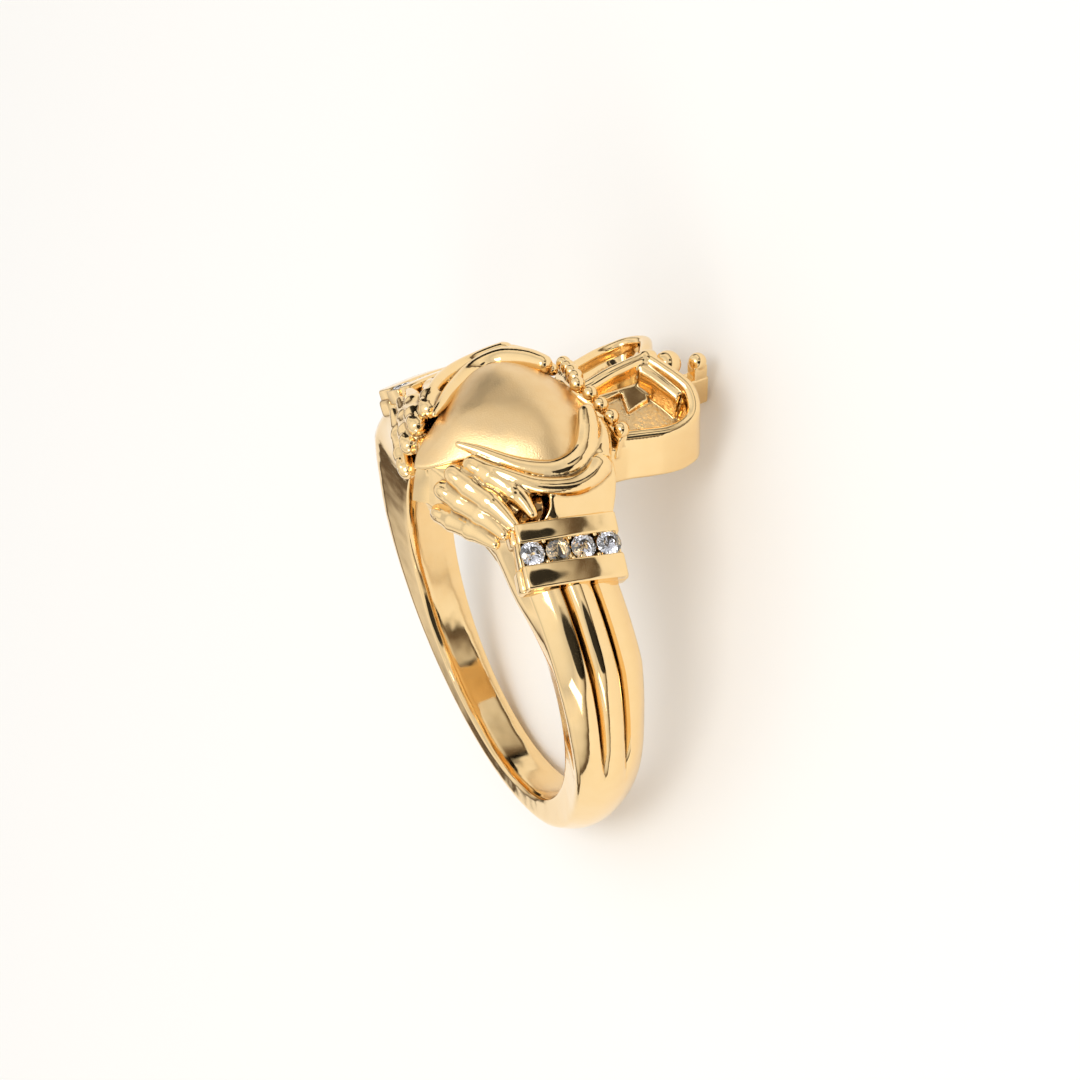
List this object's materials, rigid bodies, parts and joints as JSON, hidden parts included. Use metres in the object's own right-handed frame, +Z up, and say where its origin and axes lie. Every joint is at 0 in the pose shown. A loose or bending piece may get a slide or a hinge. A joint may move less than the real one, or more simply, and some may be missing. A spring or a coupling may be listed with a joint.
{
  "type": "claddagh ring",
  "caption": "Finger ring in cast gold: two hands hold a crowned heart, and a row of small stones is set across each cuff of the ribbed band.",
  "frame": {"origin": "bottom centre of the bounding box, on the surface that the ring lies on", "axes": "+Z up; +X from the foot of the band towards the head and its crown; +Y across the ring, towards the far hand. The ring lies on the crown side, on the edge of its foot and the end of its crown"},
  "size_m": [0.025, 0.0232, 0.0142],
  "materials": {
    "gold": "polished pale yellow gold, with a satin heart",
    "diamond": "clear cut stones"
  },
  "bodies": {
    "root": {"gold_ring": "gold", "near_stone_1": "diamond", "near_stone_2": "diamond", "near_stone_3": "diamond", "near_stone_4": "diamond", "far_stone_1": "diamond", "far_stone_2": "diamond", "far_stone_3": "diamond", "far_stone_4": "diamond"}
  },
  "joints": []
}
